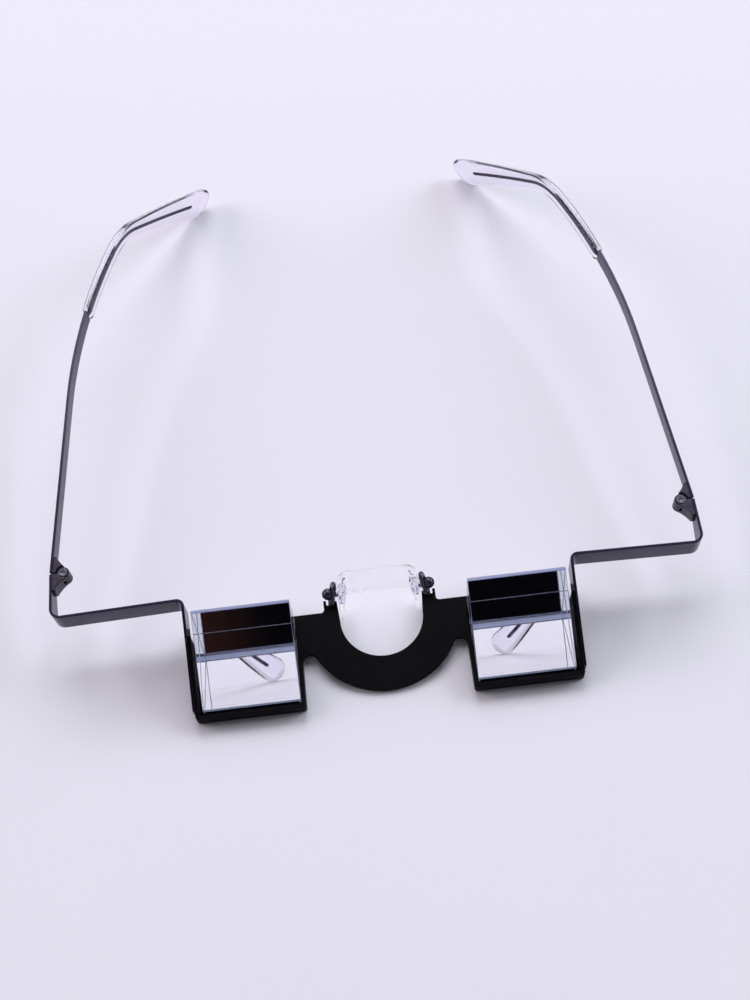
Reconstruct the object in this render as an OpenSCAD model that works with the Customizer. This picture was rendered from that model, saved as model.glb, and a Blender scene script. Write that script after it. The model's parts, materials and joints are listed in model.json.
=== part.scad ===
// Prism spectacles: two mirrored glass prisms on a sheet metal front, with folding temples.
// Lengths are in millimetres and angles in degrees. The front plate is drawn level, with X across
// the face, Y towards the wearer from the front of the trays, and Z up from the plate's underside.
// The finished part is then tipped onto its front lips and temple tips, as it lies on a table.

/* [Front plate] */
// Thickness of the sheet metal
sheet_t = 1; // [0.6:0.1:1.4]
// Outside radius of the folded and cut corners of the trays
fold_r = 0.8; // [0.2:0.1:1]
// Depth of the plate from its front lips to its rear edge
plate_depth = 23.9; // [22:0.1:26]
// Height of the front lips and the inner tray walls
lip_h = 3.7; // [2.5:0.1:5]
// Depth of the outer tray walls
outer_wall_depth = 17.4; // [12:0.5:21]
// Radius of the nose cut-out
nose_r = 9.9; // [8:0.1:11]
// Distance of the nose cut-out's centre from the front of the trays
nose_centre_y = 21.2; // [19:0.1:21.5]
// Width of the bridge band round the nose cut-out
bridge_band = 8.5; // [6:0.1:8.8]
// Least distance between the bridge's outer arc and a tray
bridge_gap = 1.1; // [0.6:0.1:2]
// Radius at the closed end of the notch between bridge and tray
notch_r = 1.7; // [1.2:0.05:2]
// Width of the two ears that carry the nose pad
ear_w = 3.2; // [2.8:0.1:4]
// Length of the ears behind the plate's rear edge
ear_len = 3; // [2:0.1:4]
// Fillet where an ear leaves the rear edge
ear_fillet = 0.8; // [0.3:0.1:1.5]
// Width of the slot in the end of each ear
ear_slot_w = 1.9; // [1.2:0.1:2.2]
// Depth of the slot in the end of each ear
ear_slot_depth = 1.2; // [0.5:0.1:1.4]

/* [Prisms] */
// Distance between the centres of the two prisms
prism_spacing = 64; // [62:0.5:70]
// Width of a prism
prism_w = 22.8; // [20:0.1:24]
// Depth of a prism's mirrored base
prism_depth = 20.7; // [18:0.1:21.5]
// Height of a prism's small front face
prism_front_h = 1.9; // [0.5:0.1:2.5]
// Angle between the sloping face and the base
prism_angle = 30; // [26:0.5:33]
// Flat ground on the top edge of a prism
prism_chamfer = 0.9; // [0.3:0.1:1.5]
// Gap between a prism and the inner wall of its tray
prism_gap = 0.1; // [0.05:0.05:0.3]
// Gap between a prism and the outer wall of its tray
prism_side_gap = 0.7; // [0.05:0.05:1.2]
// Gap between a prism and its front lip
prism_front_gap = 0.9; // [0.05:0.05:1.2]
// Thickness of the silvered and black-backed coat
mirror_t = 0.15; // [0.1:0.05:0.3]
// Thickness of the glue bed
glue_t = 0.2; // [0.1:0.05:0.4]
// Distance from the glue bed's edge to the prism's edge
glue_inset = 1; // [0.5:0.1:2]

/* [End pieces] */
// Width of the spectacles over the end pieces
frame_w = 153.4; // [140:0.2:160]
// Thickness of the strip metal
strip_t = 0.7; // [0.7:0.1:1.4]
// Height of the strip across the brow
bar_h = 6; // [4.5:0.1:7]
// Height of the strip's top edge above the plate's underside
bar_top = 13.1; // [11:0.1:15]
// Distance of the cross bar behind the plate's rear edge
bar_setback = 2; // [1.6:0.1:4]
// Angle that the cross bar sweeps forward towards the temple
bar_sweep = 1.5; // [0:0.5:4]
// Inside radius of the bend beside the prism
inner_bend_r = 1.2; // [0.6:0.1:2]
// Inside radius of the bend at the temple
outer_bend_r = 2; // [1:0.1:3]
// Distance of the strip's front end behind the front lip
side_front_y = 2.3; // [1:0.1:4]
// Height of the strip at its front end
side_front_h = 2.6; // [1.8:0.1:4]
// Height of the strip's lower edge beside the tray
side_low = 0.4; // [0.1:0.1:0.8]
// Length of the strip's lower edge before it rises
side_low_len = 8.2; // [5:0.1:12]

/* [Hinges] */
// Distance of the hinge pin inside the strip's outer face
pin_inset = 3.3; // [3:0.1:4]
// Distance of the hinge pin behind the cross bar
pin_setback = 10.2; // [9.5:0.1:14]
// Diameter of the hinge knuckles
knuckle_d = 2.9; // [2.6:0.1:3.4]
// Height of the hinge
hinge_h = 3.8; // [3:0.1:4]
// Height of the middle knuckle
middle_knuckle_h = 1.3; // [0.9:0.1:1.6]
// Gap above and below the middle knuckle
knuckle_gap = 0.05; // [0.03:0.01:0.15]
// Gap between a knuckle and the other leaf
leaf_gap = 0.4; // [0.1:0.05:0.6]
// Gap between the end piece and the temple when it is straight
end_gap = 0.2; // [0.1:0.1:0.8]
// Length of each leaf along its strip
leaf_len = 4.2; // [3.5:0.1:7.5]
// Thickness of each leaf at its far end
leaf_t = 0.6; // [0.4:0.1:1]
// Angle round a knuckle at which a leaf's hollow flank leaves it
gusset_angle = 57; // [15:1:65]
// Diameter of the hinge screw's shank
hinge_screw_d = 1.2; // [1:0.05:1.4]
// Diameter of the hinge screw's head
hinge_head_d = 2.1; // [1.8:0.05:2.3]
// Height of the hinge screw's head
hinge_head_h = 0.5; // [0.3:0.05:0.7]
// Depth that the head sits in the top knuckle
head_sink = 0.35; // [0.2:0.05:0.6]
// Radial running clearance of the hinge screws
bore_gap = 0.05; // [0.02:0.01:0.1]

/* [Temples] */
// Height of the temple strip
temple_h = 4; // [3.2:0.1:5]
// Angle that the temples turn in as they lie
toe_in = 4.5; // [0:0.5:9]
// Length of the straight part of a temple
straight_len = 48; // [40:1:60]
// Radius of the temple's inward bow
bow_r = 152; // [130:1:220]
// Distance of the clear tip's start behind the pin
tip_start = 75.4; // [68:0.2:80]
// Distance of the downward bend behind the pin
bend_back = 102; // [95:0.2:104]
// Radius of the downward bend
bend_r = 18; // [14:0.5:24]
// Distance of the rounded end's centre behind the pin
tip_reach = 131.5; // [122:0.2:134]
// Drop of the rounded end's centre below the strip
tip_drop = 24; // [20:0.2:28]
// Radius of the rounded end
tip_end_r = 4.2; // [3.2:0.1:5]
// Height of the clear tip where it starts
tip_h = 4.8; // [4.4:0.1:6]
// Thickness of the clear tip
tip_t = 2.1; // [1.8:0.1:3.4]
// Height of the metal core inside the tip
core_h = 1; // [0.8:0.1:4]
// Distance of the core's end from the end of the tip
core_end_gap = 7; // [2:0.1:9]
// Gap between the core and the tip
core_gap = 0.05; // [0.02:0.01:0.1]

/* [Nose pad] */
// Distance of the pad's pivot behind the plate's rear edge
pivot_setback = 3.5; // [3:0.1:4.5]
// Height of an eyelet's middle above the plate's underside, before it leans
pivot_z = 3.3; // [2.9:0.1:4]
// Lean of the saddle towards the wearer
pad_lean = 20; // [10:1:25]
// Width of the saddle between the faces of its arms
pad_w = 19.2; // [17:0.1:19.4]
// Least gap between the saddle and each ear or eyelet
pad_gap = 0.15; // [0.1:0.05:0.6]
// Thickness of the saddle
pad_t = 1.9; // [1.7:0.1:2.4]
// Depth of the saddle's band
pad_depth = 6; // [5.6:0.1:7]
// Length of the saddle's arms, to the top of its crown
pad_len = 10.4; // [9.5:0.1:12]
// Part of the arms below the pivot
pad_below = 4.3; // [4:0.1:5.4]
// Offset of the saddle's middle in front of the pivot
pad_forward = 1.3; // [0.8:0.1:1.4]
// Radius at the saddle's upper corners
pad_corner_r = 2.8; // [2.2:0.1:6.5]
// Radius at the saddle's inside corners
pad_inner_r = 0.9; // [0.3:0.1:4]
// Length of an oval eyelet
eyelet_len = 6.3; // [5:0.1:7]
// Width of an oval eyelet
eyelet_w = 3; // [2.6:0.1:3.4]
// Thickness of an eyelet
eyelet_t = 1; // [0.6:0.1:1.2]
// Slope of the eyelets
eyelet_slope = 45; // [35:1:55]
// Lean of the eyelets' tops towards the nose
eyelet_lean = 20; // [0:1:22]
// Length of the slot through an eyelet
eyelet_slot_len = 3.6; // [2:0.1:4.4]
// Diameter of the pad screws' shanks
pad_screw_d = 1.2; // [1:0.05:1.4]
// Diameter of the pad screws' heads
pad_head_d = 2.6; // [2.4:0.1:3.8]
// Height of the pad screws' heads
pad_head_h = 2; // [0.8:0.1:2.6]
// Radial running clearance of the pad screws in the inserts
pad_bore_gap = 0.12; // [0.1:0.01:0.2]
// Length of an oval insert
insert_len = 3.4; // [3:0.1:4.4]
// Width of an oval insert
insert_w = 2; // [1.9:0.1:2.5]
// Depth that an insert sits in the saddle's arm
insert_sink = 1.1; // [0.8:0.1:1.5]
// Gap between an insert and its eyelet
insert_gap = 0.3; // [0.1:0.05:0.5]
// Thickness of an insert's closed end
insert_floor = 0.3; // [0.2:0.05:0.5]

/* [Hidden] */
$fn = 96;
// Steps in an arc of a drawn outline
arc_steps = 24;
// Distance under which two points of an outline are one
same_point = 0.001;
// Overshoot of cutting shapes
cut = 1;
black = "#141418";
strip_grey = "#4a4658";
clear_glass = [0.82, 0.87, 0.93, 0.5];
clear_silicone = [0.93, 0.93, 0.95, 0.6];

// Trays and bridge
prism_x = (prism_spacing - prism_w) / 2;
tray_w = prism_w + prism_gap + prism_side_gap + 2 * sheet_t;
tray_in_x = prism_x - prism_gap - sheet_t;
tray_out_x = tray_in_x + tray_w;
bridge_r = nose_r + bridge_band;
// Distance that each outer arc's centre moves out from the middle, to keep its gap to the tray
bridge_shift = tray_in_x - bridge_gap - bridge_r;
notch_x = tray_in_x - notch_r;
notch_y = nose_centre_y - sqrt(pow(bridge_r + notch_r, 2) - pow(notch_x - bridge_shift, 2));
ear_end_y = plate_depth + ear_len;
// Height of an eyelet's top along its lean, and how far it then overhangs the ear's inner edge
eyelet_top = pivot_z - sheet_t + (eyelet_len - eyelet_w) / 2 * sin(eyelet_slope) + eyelet_w / 2;
eyelet_overhang = eyelet_t / 2 * cos(eyelet_lean) + eyelet_top * sin(eyelet_lean) - ear_w / 2;
ear_in_x = pad_w / 2 + pad_gap + max(0, eyelet_overhang);
ear_mid_x = ear_in_x + ear_w / 2;
ear_out_x = ear_in_x + ear_w;

// Prisms
prism_y = sheet_t + prism_front_gap;
prism_z = sheet_t + glue_t + mirror_t;
prism_h = prism_front_h + prism_depth * tan(prism_angle);
// Height of the sloping face at the outer wall's rear end, where the wall's top edge meets it
outer_wall_h = prism_z + prism_front_h + (outer_wall_depth - prism_y) * tan(prism_angle);

// End pieces and hinges
bar_y = plate_depth + bar_setback;
bar_back = bar_y + strip_t;
bar_low = bar_top - bar_h;
inner_bend_x = tray_out_x + strip_t + inner_bend_r;
inner_bend_y = bar_y - inner_bend_r;
strip_in_x = frame_w / 2 - strip_t;
outer_bend_x = strip_in_x - outer_bend_r;
// Distance between the lines through the two bends' centres, along the cross bar
bend_step = inner_bend_r + strip_t + outer_bend_r;
bar_len = (outer_bend_x - inner_bend_x - bend_step * sin(bar_sweep)) / cos(bar_sweep);
outer_bend_y = inner_bend_y - bar_len * sin(bar_sweep) + bend_step * cos(bar_sweep);
pin_x = frame_w / 2 - pin_inset;
pin_y = bar_back + pin_setback;
strip_z = bar_top - temple_h / 2;
hinge_low = strip_z - hinge_h / 2;
hinge_top = hinge_low + hinge_h;
middle_low = strip_z - middle_knuckle_h / 2;
leg_end_y = pin_y - end_gap / 2;

// Temples
temple_y = pin_y + end_gap / 2;
temple_x = frame_w / 2 - strip_t / 2;
bow_y = temple_y + straight_len;
tip_y = pin_y + tip_start;
bend_y = pin_y + bend_back;
tip_end_y = pin_y + tip_reach;
tip_end_z = strip_z - tip_drop;
bend_angle = atan2(tip_drop, tip_end_y - bend_y);
bend_run = bend_r * tan(bend_angle / 2);
tip_slope_len = norm([tip_end_y - bend_y, tip_drop]) - bend_run;
core_len = tip_slope_len + tip_end_r - core_end_gap - core_h / 2;
bow_sweep = asin((tip_end_y + 2 * tip_end_r - bow_y) / bow_r);
tip_end_x = temple_x - bow_r * (1 - cos(asin((tip_end_y - bow_y) / bow_r)));

// Nose pad
pivot_y = plate_depth + pivot_setback;
eyelet_in_x = ear_mid_x - eyelet_t / 2;
eyelet_out_x = ear_mid_x + eyelet_t / 2;
insert_out_x = eyelet_in_x - insert_gap;
// Where a leaning eyelet's middle comes to lie, and where its axis meets the saddle's face
pivot_x = ear_mid_x - (pivot_z - sheet_t) * sin(eyelet_lean);
crossing_z = sheet_t + (pivot_z - sheet_t) * cos(eyelet_lean);
rock_z = crossing_z - (pivot_x - pad_w / 2) * tan(eyelet_lean);
insert_in_x = ear_mid_x - (pivot_x - pad_w / 2) / cos(eyelet_lean) - insert_sink;

// Tilt of the whole part as it rests on the lips' folds and the tips' rounded ends
rest_tip_y = pin_y + (tip_end_x - pin_x) * sin(toe_in) + (tip_end_y - pin_y) * cos(toe_in);
rest_run = rest_tip_y - fold_r;
rest_rise = tip_end_z - fold_r;
pitch = asin((tip_end_r - fold_r) / norm([rest_run, rest_rise])) - atan2(rest_rise, rest_run);
rest_z = fold_r * (1 - sin(pitch) - cos(pitch));
front_reach = -lip_h * sin(pitch);
rear_reach = rest_tip_y * cos(pitch) - tip_end_z * sin(pitch) + tip_end_r;
middle_y = (front_reach + rear_reach) / 2;

// Places a piece drawn level into the part as it rests on the table
module middle() {
    translate([0, -middle_y, rest_z]) rotate([pitch, 0, 0]) children();
}

module right() {
    middle() children();
}

module left() {
    middle() mirror([1, 0, 0]) children();
}

// Carries a side view outline, drawn in Y and Z, across X
module across(x, w) {
    translate([x, 0, 0]) rotate([90, 0, 90]) linear_extrude(w) children();
}

// Turns a temple's pieces about the hinge pin to where the temple lies
module toed_in() {
    translate([pin_x, pin_y, 0]) rotate([0, 0, toe_in]) translate([-pin_x, -pin_y, 0]) children();
}

module oval(len, w) {
    square([len - w, w], center = true);
    for (end = [-1, 1]) translate([end * (len - w) / 2, 0]) circle(d = w);
}

// Square corner piece at the origin with a rounded bite, for inside fillets
module fillet(r) {
    difference() {
        square(r);
        translate([r, r]) circle(r);
    }
}

// Points of an arc from one angle to another
function arc(centre, r, from, to) =
    [for (i = [0:arc_steps]) let (a = from + (to - from) * i / arc_steps) centre + r * [cos(a), sin(a)]];

// Points of an outline's other half, in order after the first half
function mirrored(points) = [for (i = [len(points) - 1:-1:0]) [-points[i][0], points[i][1]]];

// Outline without the points that repeat where two stretches meet
function joined(points) =
    [for (i = [0:len(points) - 1])
        let (next = points[(i + 1) % len(points)])
        if (norm(points[i] - next) > same_point) points[i]];

// Right half of the bridge in plan, from its front, round the notch and the ear, to the nose cut-out
function bridge_half() =
    let (
        outer_centre = [bridge_shift, nose_centre_y],
        // Where the outer arc starts: straight ahead of its centre, or at the middle if it crosses it
        front_angle = max(-90, -acos(-bridge_shift / bridge_r)),
        notch_angle = atan2(notch_y - nose_centre_y, notch_x - bridge_shift),
        seam_x = tray_in_x + sheet_t,
        slot_x = [ear_mid_x - ear_slot_w / 2, ear_mid_x + ear_slot_w / 2],
        slot_y = ear_end_y - ear_slot_depth
    )
    concat(
        arc(outer_centre, bridge_r, front_angle, notch_angle),
        arc([notch_x, notch_y], notch_r, notch_angle + 180, 0),
        [[seam_x, notch_y], [seam_x, plate_depth]],
        arc([ear_out_x + ear_fillet, plate_depth + ear_fillet], ear_fillet, 270, 180),
        [[ear_out_x, ear_end_y]],
        [[slot_x[1], ear_end_y], [slot_x[1], slot_y], [slot_x[0], slot_y], [slot_x[0], ear_end_y]],
        [[ear_in_x, ear_end_y]],
        arc([0, nose_centre_y], nose_r, 0, -90)
    );

// Side view of the tray's floor and its folded front lip
module tray_floor_profile() {
    difference() {
        union() {
            square([plate_depth, sheet_t]);
            square([sheet_t, lip_h]);
        }
        fillet(fold_r);
    }
}

module tray() {
    intersection() {
        union() {
            across(tray_in_x, tray_w) tray_floor_profile();
            translate([tray_in_x, fold_r, 0]) cube([sheet_t, notch_y - fold_r, lip_h]);
            across(tray_out_x - sheet_t, sheet_t) polygon([
                [fold_r, 0], [outer_wall_depth, 0],
                [outer_wall_depth, outer_wall_h], [fold_r, lip_h],
            ]);
        }
        linear_extrude(outer_wall_h) tray_outline();
    }
}

// Plan of the tray, with its two front corners rounded
module tray_outline() {
    difference() {
        translate([tray_in_x, 0]) square([tray_w, plate_depth]);
        translate([tray_in_x, 0]) fillet(fold_r);
        translate([tray_out_x, 0]) mirror([1, 0]) fillet(fold_r);
    }
}

module front_frame() {
    color(black) {
        linear_extrude(sheet_t) polygon(joined(concat(bridge_half(), mirrored(bridge_half()))));
        for (side = [0, 1]) mirror([side, 0, 0]) tray();
    }
}

module prism() {
    color(clear_glass) across(prism_x, prism_w) translate([prism_y, prism_z]) polygon([
        [0, 0], [prism_depth, 0],
        [prism_depth, prism_h - prism_chamfer],
        [prism_depth - prism_chamfer, prism_h - prism_chamfer * tan(prism_angle)],
        [0, prism_front_h],
    ]);
}

module prism_mirror() {
    color("#202026") translate([prism_x, prism_y, sheet_t + glue_t])
        cube([prism_w, prism_depth, mirror_t]);
}

module prism_glue() {
    color("#8a8c90") translate([prism_x + glue_inset, prism_y + glue_inset, sheet_t])
        cube([prism_w - 2 * glue_inset, prism_depth - 2 * glue_inset, glue_t]);
}

// One face of the bent strip in plan, from the leg beside the prism to the leg at the temple
function strip_face(inner_r, outer_r) = concat(
    arc([inner_bend_x, inner_bend_y], inner_r, 180, 90 - bar_sweep),
    arc([outer_bend_x, outer_bend_y], outer_r, -90 - bar_sweep, 0)
);

function reversed(points) = [for (i = [len(points) - 1:-1:0]) points[i]];

module end_piece() {
    color(strip_grey) {
        across(tray_out_x, strip_t) polygon([
            [side_front_y, side_low], [side_front_y + side_low_len, side_low],
            [inner_bend_y, bar_low], [inner_bend_y, bar_top],
            [side_front_y, side_low + side_front_h],
        ]);
        translate([0, 0, bar_low]) linear_extrude(bar_h) polygon(concat(
            strip_face(inner_bend_r + strip_t, outer_bend_r),
            reversed(strip_face(inner_bend_r, outer_bend_r + strip_t))
        ));
        across(strip_in_x, strip_t) polygon([
            [outer_bend_y, bar_low], [leg_end_y - leaf_len / 2, bar_top - temple_h],
            [leg_end_y, bar_top - temple_h], [leg_end_y, bar_top], [outer_bend_y, bar_top],
        ]);
    }
}

// Points of a curve that leaves one point towards a second and ends at a third
function curve(from, aim, to) =
    [for (i = [0:arc_steps]) let (t = i / arc_steps, u = 1 - t) u * u * from + 2 * u * t * aim + t * t * to];

// Plan of a leaf's gusset, with the pin at the origin and the leaf on its rear side
module gusset() {
    wall_x = strip_in_x - pin_x;
    end_y = end_gap / 2 + leaf_len;
    far = [wall_x - leaf_t, end_y];
    near = knuckle_d / 2 * [-cos(gusset_angle), sin(gusset_angle)];
    aim = near + norm(far - near) / 2 * [sin(gusset_angle), cos(gusset_angle)];
    polygon(concat(
        [[0, end_gap / 2], [wall_x, end_gap / 2], [wall_x, end_y]],
        curve(far, aim, near)
    ));
}

// Knuckle or cutter of one height, round the pin
module round_pin(low, h, d) {
    translate([0, 0, low]) cylinder(d = d, h = h);
}

module hinge_front_leaf() {
    middle_room = middle_knuckle_h + 2 * knuckle_gap;
    color(strip_grey) translate([pin_x, pin_y, 0]) difference() {
        union() {
            round_pin(hinge_low, hinge_h, knuckle_d);
            translate([0, 0, hinge_low]) linear_extrude(hinge_h) mirror([0, 1]) gusset();
        }
        round_pin(middle_low - knuckle_gap, middle_room, knuckle_d + 2 * leaf_gap);
        round_pin(hinge_low - cut, hinge_h + 2 * cut, hinge_screw_d + 2 * bore_gap);
        round_pin(hinge_top - head_sink, head_sink + cut, hinge_head_d + 2 * bore_gap);
    }
}

module hinge_temple_leaf() {
    color(strip_grey) toed_in() translate([pin_x, pin_y, 0]) difference() {
        union() {
            round_pin(middle_low, middle_knuckle_h, knuckle_d);
            difference() {
                translate([0, 0, hinge_low]) linear_extrude(hinge_h) gusset();
                round_pin(hinge_low - cut, middle_low - hinge_low + cut, knuckle_d + 2 * leaf_gap);
                round_pin(middle_low + middle_knuckle_h, hinge_h, knuckle_d + 2 * leaf_gap);
            }
        }
        round_pin(hinge_low, hinge_h, hinge_screw_d + 2 * bore_gap);
    }
}

module hinge_screw() {
    seat = hinge_top - head_sink;
    slot_w = hinge_head_d / 6;
    slot_len = hinge_head_d * 0.7;
    color(strip_grey) translate([pin_x, pin_y, 0]) difference() {
        union() {
            round_pin(hinge_low, seat - hinge_low, hinge_screw_d);
            round_pin(seat, hinge_head_h, hinge_head_d);
        }
        for (turn = [0, 90]) rotate([0, 0, turn])
            translate([-slot_len / 2, -slot_w / 2, seat + hinge_head_h / 2]) cube([slot_len, slot_w, cut]);
    }
}

// Upright ribbon of one thickness along the temple's plan, tall enough for any outline
module ribbon(t) {
    low = tip_end_z - 2 * tip_end_r;
    tall = bar_top + cut - low;
    translate([temple_x - t / 2, temple_y, low]) cube([t, straight_len, tall]);
    translate([temple_x - bow_r, bow_y, low]) rotate_extrude(angle = bow_sweep)
        translate([bow_r - t / 2, 0]) square([t, tall]);
}

// Side view of a strip from the top of its bend, down round its end and back under the bend
function bent_run(h, end_len, end_r) =
    let (
        normal = 90 - bend_angle,
        bend_centre = [bend_y - bend_run, strip_z - bend_r],
        bend_end = bend_centre + bend_r * [cos(normal), sin(normal)],
        end_centre = bend_end + end_len * [sin(normal), -cos(normal)]
    )
    concat(
        arc(bend_centre, bend_r + h / 2, 90, normal),
        arc(end_centre, end_r, normal, normal - 180),
        arc(bend_centre, bend_r - h / 2, normal, 90)
    );

module tip_outline(start_y, h, end_len, end_r) {
    polygon(concat(
        [[start_y, strip_z - h / 2], [start_y, strip_z + h / 2]],
        bent_run(h, end_len, end_r)
    ));
}

// Side view of the temple's strip, with a shoulder where it enters the tip
module temple_outline() {
    half = temple_h / 2;
    core_half = core_h / 2;
    polygon(concat(
        [
            [tip_y, strip_z - core_half], [tip_y, strip_z - half], [temple_y, strip_z - half],
            [temple_y, strip_z + half], [tip_y, strip_z + half], [tip_y, strip_z + core_half],
        ],
        bent_run(core_h, core_len, core_half)
    ));
}

module temple() {
    color(strip_grey) toed_in() intersection() {
        ribbon(strip_t);
        across(0, frame_w) temple_outline();
    }
}

module temple_tip() {
    color(clear_glass) toed_in() difference() {
        intersection() {
            ribbon(tip_t);
            across(0, frame_w) tip_outline(tip_y, tip_h, tip_slope_len, tip_end_r);
        }
        intersection() {
            ribbon(strip_t + 2 * core_gap);
            across(0, frame_w)
                tip_outline(tip_y - cut, core_h + 2 * core_gap, core_len, core_h / 2 + core_gap);
        }
    }
}

// Turns a side view outline to the slope of the eyelets, at the pad's pivot
module at_pivot() {
    translate([pivot_y, pivot_z]) rotate(eyelet_slope) children();
}

// Leans what an ear carries towards the nose, about the ear's upper face
module leaning() {
    translate([ear_mid_x, 0, sheet_t]) rotate([0, -eyelet_lean, 0]) translate([-ear_mid_x, 0, -sheet_t])
        children();
}

module pad_eyelet() {
    color(black) difference() {
        leaning() across(eyelet_in_x, eyelet_t) at_pivot() difference() {
            oval(eyelet_len, eyelet_w);
            oval(eyelet_slot_len, pad_screw_d + 2 * bore_gap);
        }
        translate([0, 0, sheet_t - 2 * eyelet_len]) cube([2 * ear_mid_x, 2 * pivot_y, 2 * eyelet_len]);
    }
}

module pad_screw() {
    dome_r = (pow(pad_head_d / 2, 2) + pow(pad_head_h, 2)) / (2 * pad_head_h);
    slot_w = pad_head_d / 7;
    slot_len = pad_head_d * 0.6;
    shank_len = eyelet_out_x - insert_in_x - 2 * insert_floor;
    color(black) leaning() translate([eyelet_out_x, pivot_y, pivot_z]) rotate([0, 90, 0]) difference() {
        union() {
            intersection() {
                translate([0, 0, pad_head_h - dome_r]) sphere(dome_r);
                cylinder(d = 2 * pad_head_d, h = 2 * pad_head_h);
            }
            translate([0, 0, -shank_len]) cylinder(d = pad_screw_d, h = shank_len);
        }
        for (turn = [0, 90]) rotate([0, 0, turn])
            translate([-slot_len / 2, -slot_w / 2, pad_head_h / 2]) cube([slot_len, slot_w, pad_head_h]);
    }
}

module insert_body() {
    leaning() across(insert_in_x, insert_out_x - insert_in_x) at_pivot() oval(insert_len, insert_w);
}

module pad_insert() {
    color(clear_glass) difference() {
        insert_body();
        leaning() across(insert_in_x + insert_floor, insert_out_x) at_pivot()
            circle(d = pad_screw_d + 2 * pad_bore_gap);
    }
}

// Front view of the saddle, or of the space inside it, with its arms' ends at the origin
module arch(w, h, r) {
    translate([-w / 2, 0]) square([w, h - r]);
    translate([r - w / 2, 0]) square([w - 2 * r, h]);
    for (end = [-1, 1]) translate([end * (w / 2 - r), h - r]) circle(r);
}

module nose_pad() {
    color(clear_silicone) difference() {
        translate([0, pivot_y, rock_z]) rotate([-pad_lean, 0, 0])
            translate([0, pad_depth / 2 - pad_forward, -pad_below]) rotate([90, 0, 0])
                linear_extrude(pad_depth) difference() {
                    arch(pad_w, pad_len, pad_corner_r);
                    translate([0, -cut])
                        arch(pad_w - 2 * pad_t, pad_len - pad_t + cut, pad_inner_r);
                }
        insert_body();
        mirror([1, 0, 0]) insert_body();
    }
}

middle() front_frame();
left() prism();  // left_prism
right() prism();  // right_prism
left() prism_mirror();  // left_prism_mirror
right() prism_mirror();  // right_prism_mirror
left() prism_glue();  // left_prism_glue
right() prism_glue();  // right_prism_glue
left() end_piece();  // left_end_piece
right() end_piece();  // right_end_piece
left() hinge_front_leaf();  // left_hinge_front_leaf
right() hinge_front_leaf();  // right_hinge_front_leaf
left() hinge_temple_leaf();  // left_hinge_temple_leaf
right() hinge_temple_leaf();  // right_hinge_temple_leaf
left() hinge_screw();  // left_hinge_screw
right() hinge_screw();  // right_hinge_screw
left() temple();  // left_temple
right() temple();  // right_temple
left() temple_tip();  // left_temple_tip
right() temple_tip();  // right_temple_tip
left() pad_eyelet();  // left_pad_eyelet
right() pad_eyelet();  // right_pad_eyelet
left() pad_screw();  // left_pad_screw
right() pad_screw();  // right_pad_screw
left() pad_insert();  // left_pad_insert
right() pad_insert();  // right_pad_insert
middle() nose_pad();
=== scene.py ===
"""Prism spectacles on a pale table: finishes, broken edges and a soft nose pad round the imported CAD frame."""
import json
import math

import bpy
from mathutils import Matrix, Vector

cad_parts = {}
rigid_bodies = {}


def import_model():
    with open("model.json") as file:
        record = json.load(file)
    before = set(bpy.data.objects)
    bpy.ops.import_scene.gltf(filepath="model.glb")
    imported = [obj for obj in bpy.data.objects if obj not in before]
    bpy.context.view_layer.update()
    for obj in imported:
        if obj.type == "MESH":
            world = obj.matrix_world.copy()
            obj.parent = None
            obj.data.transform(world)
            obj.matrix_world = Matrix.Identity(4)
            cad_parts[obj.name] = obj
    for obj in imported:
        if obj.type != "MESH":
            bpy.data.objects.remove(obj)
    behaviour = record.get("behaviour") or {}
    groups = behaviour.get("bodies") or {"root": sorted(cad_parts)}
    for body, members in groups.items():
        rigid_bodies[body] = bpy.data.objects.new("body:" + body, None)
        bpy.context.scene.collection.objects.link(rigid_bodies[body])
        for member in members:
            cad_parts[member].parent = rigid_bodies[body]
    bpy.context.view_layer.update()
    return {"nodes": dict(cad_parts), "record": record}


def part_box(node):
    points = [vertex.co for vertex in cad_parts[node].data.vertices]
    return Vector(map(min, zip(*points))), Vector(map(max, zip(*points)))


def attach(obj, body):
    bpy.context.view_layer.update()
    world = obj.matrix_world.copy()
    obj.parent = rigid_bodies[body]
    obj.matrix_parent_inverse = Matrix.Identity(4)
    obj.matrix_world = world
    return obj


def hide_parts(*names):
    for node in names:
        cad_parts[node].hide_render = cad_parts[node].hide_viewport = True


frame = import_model()
nodes = frame["nodes"]
bodies = frame["record"]["behaviour"]["bodies"]
body_of = {node: body for body, members in bodies.items() for node in members}
SIDES = ("left", "right")

# One millimetre in the scene's metres
MM = 0.001
# Points of a CAD mesh nearer than this are one point
SAME_POINT = 0.002 * MM
# Neighbouring faces that turn by less than this are one face
FLAT = math.radians(0.1)
# Edges that turn by more than this are sharp
SHARP = math.radians(35)
# Least part of a face's normal along an axis for the face to look that way
FACING = 0.9

# Edge breaks that deburring, plating, grinding and moulding leave, in mm
SHEET_EDGE = 0.14
STRIP_EDGE = 0.16
HINGE_EDGE = 0.16
SCREW_EDGE = 0.07
EYELET_EDGE = 0.4
PRISM_EDGE = 0.1
SLEEVE_EDGE = 0.85
INSERT_EDGE = 0.15

# Order of the finishes on a prism
CLEAR, SILVERED, GROUND, BLACKENED = range(4)
# Wider flat ground on the edges of a prism's front, and how near the front their points lie, in mm
FRONT_FLAT = 0.3
FRONT_DEPTH = 0.3
# Gap that keeps the silver coat's body off the silvered glass face, in mm
COAT_GAP = 0.03
# How far from a sleeve's foremost point the face of its mouth reaches, in mm
MOUTH_DEPTH = 1.2

# Inner corners at the feet of the saddle's arms: how far out they lie, and under which height, in mm
ARM_CORNERS = (7.4, 7.9)
ARM_FOOT = 5
# How far those corners move out, which thins the arms towards their feet, in mm
ARM_TAPER = 1.2
# Grid that the saddle is remeshed on, and the width and depth of its wrinkles, in mm
SADDLE_GRID = 0.3
WRINKLE_WIDTH = 2.6
WRINKLE_DEPTH = 0.45

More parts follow.
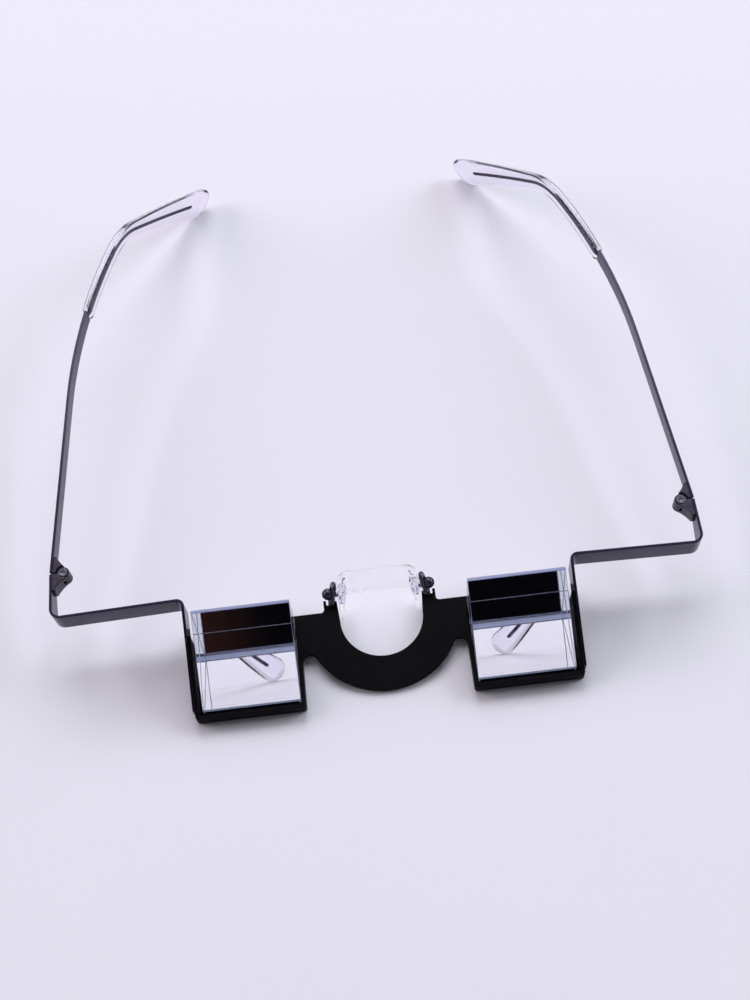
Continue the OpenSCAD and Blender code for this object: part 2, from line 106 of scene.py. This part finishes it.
# Camera: its place in mm, and its tilt and roll in degrees
CAMERA_AT = (1.75, -212.26, 277.19)
CAMERA_DOWN = 56.52
CAMERA_ROLL = 6.75
# Focal length and height of the 750 x 1000 picture in pixels, and height of the sensor in mm
FOCAL_PIXELS = 1300
PICTURE_H = 1000
SENSOR_H = 36
# Nearest thing that the camera sees, in m
CAMERA_NEAR = 0.01

# Width of the table in m, and how far it lies under the spectacles in mm
TABLE_SIZE = 8
TABLE_DROP = 0.05
# Dark card, seen only in reflections, that paints the dark room behind the camera into the prisms: how far
# behind the camera it stands, its width and its height, in m
CARD_BEHIND = 0.06
CARD_W = 1.1
CARD_H = 0.34
# Places on the card's painted reflection, in parts of its width from the middle: brown turns to black, and
# black to pale
CARD_BROWN_TO_BLACK = (-0.085, -0.058)
CARD_BLACK_TO_PALE = (0.03, 0.027)
# Strength of the room as a fill light, and as the camera, metal and glass see it
ROOM_FILL = 0.12
ROOM_SEEN = 0.8


def linear(code):
    """Linear RGBA of an sRGB hex colour."""
    parts = [int(code[i:i + 2], 16) / 255 for i in (1, 3, 5)]
    return [c / 12.92 if c <= 0.04045 else ((c + 0.055) / 1.055) ** 2.4 for c in parts] + [1]


def add(tree, kind, settings=None, links=None):
    """Adds a node: settings are properties or socket values, links are the outputs that feed its sockets."""
    node = tree.nodes.new(kind)
    for key, value in (settings or {}).items():
        if hasattr(node, key):
            setattr(node, key, value)
        else:
            node.inputs[key].default_value = value
    for key, output in (links or {}).items():
        tree.links.new(output, node.inputs[key])
    return node


def per_mm(size):
    """Noise scale whose features are this many millimetres across."""
    return 1 / (size * MM)


def new_finish(name, settings):
    """New material: gives it, its node tree, its Principled shader and its Object coordinates."""
    material = bpy.data.materials.new(name)
    material.use_nodes = True
    tree = material.node_tree
    shader = tree.nodes["Principled BSDF"]
    for key, value in settings.items():
        shader.inputs[key].default_value = value
    return material, tree, shader, add(tree, "ShaderNodeTexCoord").outputs["Object"]


def uneven_gloss(tree, shader, pattern, span, smooth, rough):
    """Roughness that goes from smooth to rough as a noise pattern goes through a span of its values."""
    gloss = add(tree, "ShaderNodeMapRange",
                {"From Min": span[0], "From Max": span[1], "To Min": smooth, "To Max": rough},
                {"Value": pattern.outputs["Fac"]})
    tree.links.new(gloss.outputs["Result"], shader.inputs["Roughness"])


def mottled(tree, shader, where, size, dark, light, smooth, rough):
    """Uneven colour and gloss in patches of one size in mm."""
    patches = add(tree, "ShaderNodeTexNoise", {"Scale": per_mm(size), "Detail": 4}, {"Vector": where})
    tone = add(tree, "ShaderNodeMix", {"data_type": "RGBA", "A": linear(dark), "B": linear(light)},
               {"Factor": patches.outputs["Fac"]})
    tree.links.new(tone.outputs["Result"], shader.inputs["Base Color"])
    uneven_gloss(tree, shader, patches, span=(0.3, 0.7), smooth=smooth, rough=rough)


def grained(tree, shader, where, size, depth, strength):
    """Fine relief, with its grain size and depth in mm."""
    grain = add(tree, "ShaderNodeTexNoise", {"Scale": per_mm(size), "Detail": 3}, {"Vector": where})
    relief = add(tree, "ShaderNodeBump", {"Strength": strength, "Distance": depth * MM},
                 {"Height": grain.outputs["Fac"]})
    tree.links.new(relief.outputs["Normal"], shader.inputs["Normal"])


def satin_black_enamel():
    """Sprayed and baked: nearly black, a soft sheen and a faint orange peel."""
    material, tree, shader, where = new_finish("satin_black_enamel", {"Specular IOR Level": 0.04})
    mottled(tree, shader, where, size=5, dark="#060609", light="#0a090d", smooth=0.4, rough=0.52)
    grained(tree, shader, where, size=0.35, depth=0.01, strength=0.25)
    return material


def gunmetal_lacquer():
    """Violet-black lacquer on rolled spring strip: dark face on, and it mirrors the table at a glance."""
    material, tree, shader, where = new_finish("gunmetal_lacquer", {
        "Specular IOR Level": 0.5, "Specular Tint": linear("#cabcff")})
    mottled(tree, shader, where, size=4, dark="#0d0a15", light="#161121", smooth=0.16, rough=0.28)
    grained(tree, shader, where, size=0.25, depth=0.006, strength=0.2)
    return material


def black_nickel_plate():
    """Barrel plated hinges: dark and glossy, with small dents."""
    material, tree, shader, where = new_finish("black_nickel_plate", {"Metallic": 0.55})
    mottled(tree, shader, where, size=1.5, dark="#2a2633", light="#3a3545", smooth=0.18, rough=0.34)
    grained(tree, shader, where, size=0.5, depth=0.01, strength=0.25)
    return material


def blackened_steel():
    """Oil blackened screws and eyelets: glossy, dark and slightly uneven."""
    material, tree, shader, where = new_finish("blackened_steel", {"Metallic": 0.7})
    mottled(tree, shader, where, size=1, dark="#2a2733", light="#413d4c", smooth=0.1, rough=0.22)
    grained(tree, shader, where, size=0.3, depth=0.008, strength=0.25)
    return material


def turned_steel():
    """Turned screw heads: grey metal. The lathe's rings are too fine to show, so they are a coarser grain."""
    material, tree, shader, where = new_finish("turned_steel", {"Metallic": 0.9})
    mottled(tree, shader, where, size=0.6, dark="#4a4653", light="#6a6674", smooth=0.2, rough=0.38)
    grained(tree, shader, where, size=0.15, depth=0.006, strength=0.3)
    return material


def polished_crown_glass():
    """Polished optical glass: clear, sharp reflections and a trace of a wiping film."""
    material, tree, shader, where = new_finish("polished_crown_glass", {
        "Base Color": linear("#fdfdff"), "Transmission Weight": 1, "IOR": 1.517})
    film = add(tree, "ShaderNodeTexNoise", {"Scale": per_mm(9), "Detail": 5}, {"Vector": where})
    uneven_gloss(tree, shader, film, span=(0.45, 0.8), smooth=0, rough=0.012)
    return material


def arris_glass():
    """Narrow flats ground on the prisms' edges: a bluish line that scatters light out of the block."""
    material, tree, shader, where = new_finish("arris_glass", {"Transmission Weight": 0.6, "IOR": 1.517})
    mottled(tree, shader, where, size=2, dark="#6f7db0", light="#8592c4", smooth=0.4, rough=0.55)
    return material


def silvered_base():
    """Chemically deposited silver seen through the glass: a clean mirror, faintly cool."""
    material, tree, shader, where = new_finish("silvered_base", {"Metallic": 1})
    mottled(tree, shader, where, size=6, dark="#eeeef2", light="#f3f3f6", smooth=0.004, rough=0.014)
    return material


def backing_paint():
    """Brushed black paint on the silver's back and the prisms' fronts: matt, with a fine tooth."""
    material, tree, shader, where = new_finish("backing_paint", {"Specular IOR Level": 0.3})
    mottled(tree, shader, where, size=2, dark="#0b0b0d", light="#151517", smooth=0.5, rough=0.7)
    grained(tree, shader, where, size=0.2, depth=0.02, strength=0.3)
    return material


def cured_adhesive():
    """Cured adhesive bed: grey from the paint under it, cloudy and slightly uneven."""
    material, tree, shader, where = new_finish("cured_adhesive", {"Specular IOR Level": 0.45})
    mottled(tree, shader, where, size=0.8, dark="#3a3b3f", light="#6a6c72", smooth=0.2, rough=0.4)
    grained(tree, shader, where, size=0.4, depth=0.02, strength=0.3)
    return material


def clear_moulded_plastic():
    """Injection moulded clear sleeves and inserts: glassy, faintly violet, with slight flow lines."""
    # The plastic's own index is about 1.5: this one is matched to the sleeves' faint edges
    material, tree, shader, where = new_finish("clear_moulded_plastic", {
        "Base Color": linear("#f6f3fd"), "Transmission Weight": 1, "IOR": 1.28})
    flow = add(tree, "ShaderNodeTexNoise", {"Scale": per_mm(6), "Detail": 3}, {"Vector": where})
    uneven_gloss(tree, shader, flow, span=(0.3, 0.8), smooth=0.08, rough=0.16)
    grained(tree, shader, where, size=3, depth=0.02, strength=0.2)
    return material


def clear_silicone():
    """Soft moulded silicone: water clear with a slightly waxy skin."""
    # Silicone's own index is about 1.4: this one is matched to the saddle's faint edges
    material, tree, shader, where = new_finish("clear_silicone", {
        "Base Color": linear("#fbfbfd"), "Transmission Weight": 1, "IOR": 1.15})
    skin = add(tree, "ShaderNodeTexNoise", {"Scale": per_mm(2.5), "Detail": 4}, {"Vector": where})
    uneven_gloss(tree, shader, skin, span=(0.3, 0.8), smooth=0.03, rough=0.12)
    grained(tree, shader, where, size=0.8, depth=0.03, strength=0.25)
    return material


def lavender_laminate():
    """Matt white table top that takes a faint violet from the daylight."""
    material, tree, shader, where = new_finish("lavender_laminate", {"Specular IOR Level": 0.2})
    mottled(tree, shader, where, size=60, dark="#e4e2ed", light="#e9e8f1", smooth=0.55, rough=0.7)
    return material


def only(piece):
    """Makes a piece the one selected and active object."""
    bpy.ops.object.select_all(action="DESELECT")
    piece.select_set(True)
    bpy.context.view_layer.objects.active = piece


def copied(node, name):
    """Copy of a CAD node with its loose triangles joined into whole faces."""
    piece = bpy.data.objects.new(name, nodes[node].data.copy())
    bpy.context.scene.collection.objects.link(piece)
    piece.data.materials.clear()
    only(piece)
    bpy.ops.object.mode_set(mode="EDIT")
    bpy.ops.mesh.select_all(action="SELECT")
    bpy.ops.mesh.remove_doubles(threshold=SAME_POINT)
    bpy.ops.mesh.dissolve_limited(angle_limit=FLAT)
    bpy.ops.object.mode_set(mode="OBJECT")
    bpy.ops.mesh.customdata_custom_splitnormals_clear()
    bpy.ops.object.shade_flat()
    return piece


def apply_modifier(piece, kind, **settings):
    """Adds one modifier to a piece and applies it."""
    only(piece)
    bpy.ops.object.modifier_add(type=kind)
    modifier = piece.modifiers[-1]
    for key, value in settings.items():
        setattr(modifier, key, value)
    bpy.ops.object.modifier_apply(modifier=modifier.name)


def break_edges(piece, width, segments):
    """Rounds a piece's sharp edges by a width in mm, and keeps its flat faces flat to the eye."""
    apply_modifier(piece, "BEVEL", width=width * MM, segments=segments, limit_method="ANGLE",
                   angle_limit=SHARP, use_clamp_overlap=False, loop_slide=False)
    bpy.ops.object.shade_smooth_by_angle(angle=SHARP)
    apply_modifier(piece, "WEIGHTED_NORMAL", weight=100, keep_sharp=True)


def select_where(piece, kind, wanted):
    """Selects the faces or points that pass a test, and leaves the piece in edit mode."""
    only(piece)
    bpy.ops.object.mode_set(mode="EDIT")
    bpy.ops.mesh.select_mode(type=kind)
    bpy.ops.mesh.select_all(action="DESELECT")
    bpy.ops.object.mode_set(mode="OBJECT")
    for item in piece.data.polygons if kind == "FACE" else piece.data.vertices:
        item.select = wanted(item)
    bpy.ops.object.mode_set(mode="EDIT")


def fit(piece, node, slot, *materials):
    """Gives a piece its finishes and sets it in the place of its CAD node."""
    for material in materials:
        piece.data.materials.append(material)
    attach(piece, body_of[node])
    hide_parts(node)


def eased(node, name, edge, slot, material, segments=2):
    """Rigid piece: its CAD node with the edges broken, in one finish."""
    piece = copied(node, name)
    break_edges(piece, edge, segments)
    fit(piece, node, slot, material)


def prism_block(side):
    """Glass prism: polished faces, flats ground on its edges, a silvered base and a blackened front."""
    node = f"{side}_prism"
    piece = copied(node, f"{side}_prism_block")
    # The finishes come first, because a bevel only uses one that the piece has
    for material in (glass, silver, arris, backing):
        piece.data.materials.append(material)
    for face in piece.data.polygons:
        face.material_index = CLEAR
        if face.normal.z < -FACING:
            face.material_index = SILVERED
        elif face.normal.y < -FACING:
            face.material_index = BLACKENED
        elif face.normal.z > FACING:
            face.material_index = GROUND
    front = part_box(node)[0].y + FRONT_DEPTH * MM
    select_where(piece, "VERT", lambda point: point.co.y < front)
    bpy.ops.mesh.bevel(offset=FRONT_FLAT * MM, segments=1, affect="EDGES", material=GROUND)
    bpy.ops.object.mode_set(mode="OBJECT")
    apply_modifier(piece, "BEVEL", width=PRISM_EDGE * MM, segments=1, limit_method="ANGLE",
                   angle_limit=SHARP, use_clamp_overlap=False, loop_slide=False, material=GROUND)
    fit(piece, node, "prism_glass")


def silver_coat(side):
    """Painted back of the silver coat, a hair under the silvered face of the glass."""
    node = f"{side}_prism_mirror"
    piece = copied(node, f"{side}_silver_coat")
    select_where(piece, "FACE", lambda face: face.normal.z > FACING)
    bpy.ops.transform.translate(value=(0, 0, -COAT_GAP * MM))
    bpy.ops.object.mode_set(mode="OBJECT")
    fit(piece, node, "mirror_coat", backing)


def clear_sleeve(side):
    """Clear temple tip: a solid rounded skin moulded round the strip's end."""
    node = f"{side}_temple_tip"
    piece = copied(node, f"{side}_clear_sleeve")
    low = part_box(node)[0]
    mouth = low.y + MOUTH_DEPTH * MM
    select_where(piece, "FACE", lambda face: face.normal.y < -FACING and face.center.y < mouth)
    bpy.ops.mesh.delete(type="FACE")
    bpy.ops.object.mode_set(mode="OBJECT")
    # The outer skin holds the lowest point: the inner one goes, and the open mouth is closed
    select_where(piece, "VERT", lambda point: point.co.z < low.z + SAME_POINT)
    bpy.ops.mesh.select_linked()
    bpy.ops.mesh.select_all(action="INVERT")
    bpy.ops.mesh.delete(type="VERT")
    bpy.ops.mesh.select_non_manifold()
    bpy.ops.mesh.edge_face_add()
    bpy.ops.object.mode_set(mode="OBJECT")
    break_edges(piece, SLEEVE_EDGE, segments=4)
    # The rounding dips a hair under the surface that the tip rests on, so those points are levelled
    select_where(piece, "VERT", lambda point: point.co.z < low.z)
    bpy.ops.transform.resize(value=(1, 1, 0), center_override=(0, 0, low.z))
    bpy.ops.object.mode_set(mode="OBJECT")
    fit(piece, node, "tip_plastic", plastic)


def silicone_saddle():
    """Nose pad: a moulded saddle with soft edges and a slightly wrinkled skin."""
    piece = copied("nose_pad", "silicone_saddle")
    nearest, farthest = (place * MM for place in ARM_CORNERS)
    for sign in (-1, 1):
        select_where(piece, "VERT", lambda point: (
            nearest < sign * point.co.x < farthest and point.co.z < ARM_FOOT * MM))
        bpy.ops.transform.translate(value=(sign * ARM_TAPER * MM, 0, 0))
        bpy.ops.object.mode_set(mode="OBJECT")
    apply_modifier(piece, "REMESH", mode="VOXEL", voxel_size=SADDLE_GRID * MM, use_smooth_shade=True)
    apply_modifier(piece, "SMOOTH", factor=0.5, iterations=6)
    wrinkles = bpy.data.textures.new("saddle_wrinkles", "CLOUDS")
    wrinkles.noise_scale = WRINKLE_WIDTH * MM
    apply_modifier(piece, "DISPLACE", texture=wrinkles, texture_coords="LOCAL",
                   strength=WRINKLE_DEPTH * MM, mid_level=0.5)
    bpy.ops.object.shade_smooth()
    # Clear silicone passes nearly all the light, so it keeps none of it off the table
    piece.visible_shadow = False
    fit(piece, "nose_pad", "silicone", silicone)


def table_top():
    """Pale table, a hair under the spectacles."""
    bpy.ops.object.select_all(action="DESELECT")
    bpy.ops.mesh.primitive_plane_add(size=TABLE_SIZE, location=(0, 0, -TABLE_DROP * MM))
    table = bpy.context.active_object
    table.name = "table_top"
    table.data.materials.append(lavender_laminate())


def painted_room_reflection():
    """Dull painted reflection on the dark card, standing for the dark room behind the camera: brown on the
    left, then black, with a pale band in the middle.
    """
    material, tree, shader, where = new_finish("dark_card", {"Roughness": 1, "Specular IOR Level": 0})
    place = add(tree, "ShaderNodeSeparateXYZ", {}, {"Vector": where})
    step = add(tree, "ShaderNodeMapRange",
               {"From Min": CARD_BROWN_TO_BLACK[0], "From Max": CARD_BROWN_TO_BLACK[1]},
               {"Value": place.outputs["X"]})
    # Painted reflection: brown and black stand for the dark room behind the camera
    tone = add(tree, "ShaderNodeMix", {"data_type": "RGBA", "A": linear("#2b1a16"), "B": linear("#08080c")},
               {"Factor": step.outputs["Result"]})
    aside = add(tree, "ShaderNodeMath", {"operation": "ABSOLUTE"}, {0: place.outputs["X"]})
    middle = add(tree, "ShaderNodeMapRange",
                 {"From Min": CARD_BLACK_TO_PALE[0], "From Max": CARD_BLACK_TO_PALE[1]},
                 {"Value": aside.outputs["Value"]})
    # Painted reflection: the pale band in the middle is what the prisms' side strips mirror
    pale = add(tree, "ShaderNodeMix", {"data_type": "RGBA", "B": linear("#e6eaf2")},
               {"Factor": middle.outputs["Result"], "A": tone.outputs["Result"]})
    tree.links.new(pale.outputs["Result"], shader.inputs["Base Color"])
    return material


def dark_card(at, facing):
    """Card behind the camera, seen only in reflections: a painted reflection that the prisms mirror as a dark
    room, and whose pale band their side strips mirror.
    """
    bpy.ops.object.select_all(action="DESELECT")
    bpy.ops.mesh.primitive_plane_add(size=1)
    card = bpy.context.active_object
    card.name = "dark_card"
    card.matrix_world = Matrix.Translation(at) @ facing @ Matrix.Diagonal((CARD_W, CARD_H, 1, 1))
    # Hidden from the camera, from shadows and from diffuse light, so the card shows only as painted reflection
    card.visible_camera = card.visible_shadow = card.visible_diffuse = False
    card.data.materials.append(painted_room_reflection())


def softbox(name, at, size, power, colour):
    """Square lamp that faces the spectacles, kept from glaring through the clear pieces."""
    bpy.ops.object.light_add(type="AREA", location=at)
    lamp = bpy.context.active_object
    lamp.name = name
    lamp.rotation_euler = (-Vector(at)).to_track_quat("-Z", "Y").to_euler()
    lamp.data.size = size
    lamp.data.energy = power
    lamp.data.color = linear(colour)[:3]
    lamp.visible_transmission = False


def pale_room():
    """World that fills the shadows a little, and that the camera, metal and glass see as a pale room."""
    world = bpy.data.worlds.new("room")
    bpy.context.scene.world = world
    world.use_nodes = True
    tree = world.node_tree
    room = tree.nodes["Background"]
    room.inputs["Color"].default_value = linear("#f8f7fb")
    ray = add(tree, "ShaderNodeLightPath")
    direct = add(tree, "ShaderNodeMath", {"operation": "ADD"},
                 {0: ray.outputs["Is Camera Ray"], 1: ray.outputs["Is Glossy Ray"]})
    seen = add(tree, "ShaderNodeMath", {"operation": "ADD", "use_clamp": True},
               {0: direct.outputs["Value"], 1: ray.outputs["Is Transmission Ray"]})
    level = add(tree, "ShaderNodeMapRange", {"To Min": ROOM_FILL, "To Max": ROOM_SEEN},
                {"Value": seen.outputs["Value"]})
    tree.links.new(level.outputs["Result"], room.inputs["Strength"])


def camera_turn():
    """Turn of the camera, down onto the table and then rolled about its own axis, and the way it looks."""
    down, roll = math.radians(CAMERA_DOWN), math.radians(CAMERA_ROLL)
    ahead = Vector((0, math.cos(down), -math.sin(down)))
    above = Vector((0, math.sin(down), math.cos(down)))
    across = Vector((1, 0, 0))
    right = math.cos(roll) * across - math.sin(roll) * above
    up = math.cos(roll) * above + math.sin(roll) * across
    return Matrix((right, up, -ahead)).transposed().to_4x4(), ahead


def set_camera(at, turn):
    """Camera of the scene, with the picture's field of view."""
    camera = bpy.data.objects.new("camera", bpy.data.cameras.new("camera"))
    bpy.context.scene.collection.objects.link(camera)
    camera.matrix_world = Matrix.Translation(at) @ turn
    camera.data.sensor_fit = "VERTICAL"
    camera.data.sensor_height = SENSOR_H
    camera.data.lens = FOCAL_PIXELS / PICTURE_H * SENSOR_H
    camera.data.clip_start = CAMERA_NEAR
    bpy.context.scene.camera = camera


enamel = satin_black_enamel()
lacquer = gunmetal_lacquer()
nickel = black_nickel_plate()
black_steel = blackened_steel()
steel = turned_steel()
glass = polished_crown_glass()
arris = arris_glass()
silver = silvered_base()
backing = backing_paint()
adhesive = cured_adhesive()
plastic = clear_moulded_plastic()
silicone = clear_silicone()

eased("front_frame", "front_plate", SHEET_EDGE, "front_paint", enamel)
for side in SIDES:
    prism_block(side)
    silver_coat(side)
    nodes[f"{side}_prism_glue"].material_slots[0].material = adhesive
    eased(f"{side}_end_piece", f"{side}_brow_strip", STRIP_EDGE, "strip_metal", lacquer)
    eased(f"{side}_temple", f"{side}_side_strip", STRIP_EDGE, "strip_metal", lacquer)
    eased(f"{side}_hinge_front_leaf", f"{side}_front_knuckles", HINGE_EDGE, "hinge_metal", nickel)
    eased(f"{side}_hinge_temple_leaf", f"{side}_temple_knuckle", HINGE_EDGE, "hinge_metal", nickel)
    eased(f"{side}_hinge_screw", f"{side}_pivot_screw", SCREW_EDGE, "screw_steel", steel)
    eased(f"{side}_pad_eyelet", f"{side}_oval_eyelet", EYELET_EDGE, "screw_black", black_steel, segments=3)
    eased(f"{side}_pad_screw", f"{side}_saddle_screw", SCREW_EDGE, "screw_black", black_steel)
    eased(f"{side}_pad_insert", f"{side}_saddle_insert", INSERT_EDGE, "insert_plastic", plastic)
    clear_sleeve(side)
silicone_saddle()

camera_at = Vector(CAMERA_AT) * MM
turn, ahead = camera_turn()
set_camera(camera_at, turn)
table_top()
dark_card(camera_at - CARD_BEHIND * ahead, turn)
# Places and sizes in m, powers in W
softbox("back_window", at=(0.1, 2.4, 2.4), size=2.4, power=74, colour="#fbf9fe")
softbox("left_window", at=(-2.4, 0.8, 1.25), size=1.8, power=48, colour="#fff6fc")
softbox("right_window", at=(2.4, 0.8, 1.25), size=1.8, power=58, colour="#f4fbff")
pale_room()
bpy.context.scene.view_settings.view_transform = "Standard"
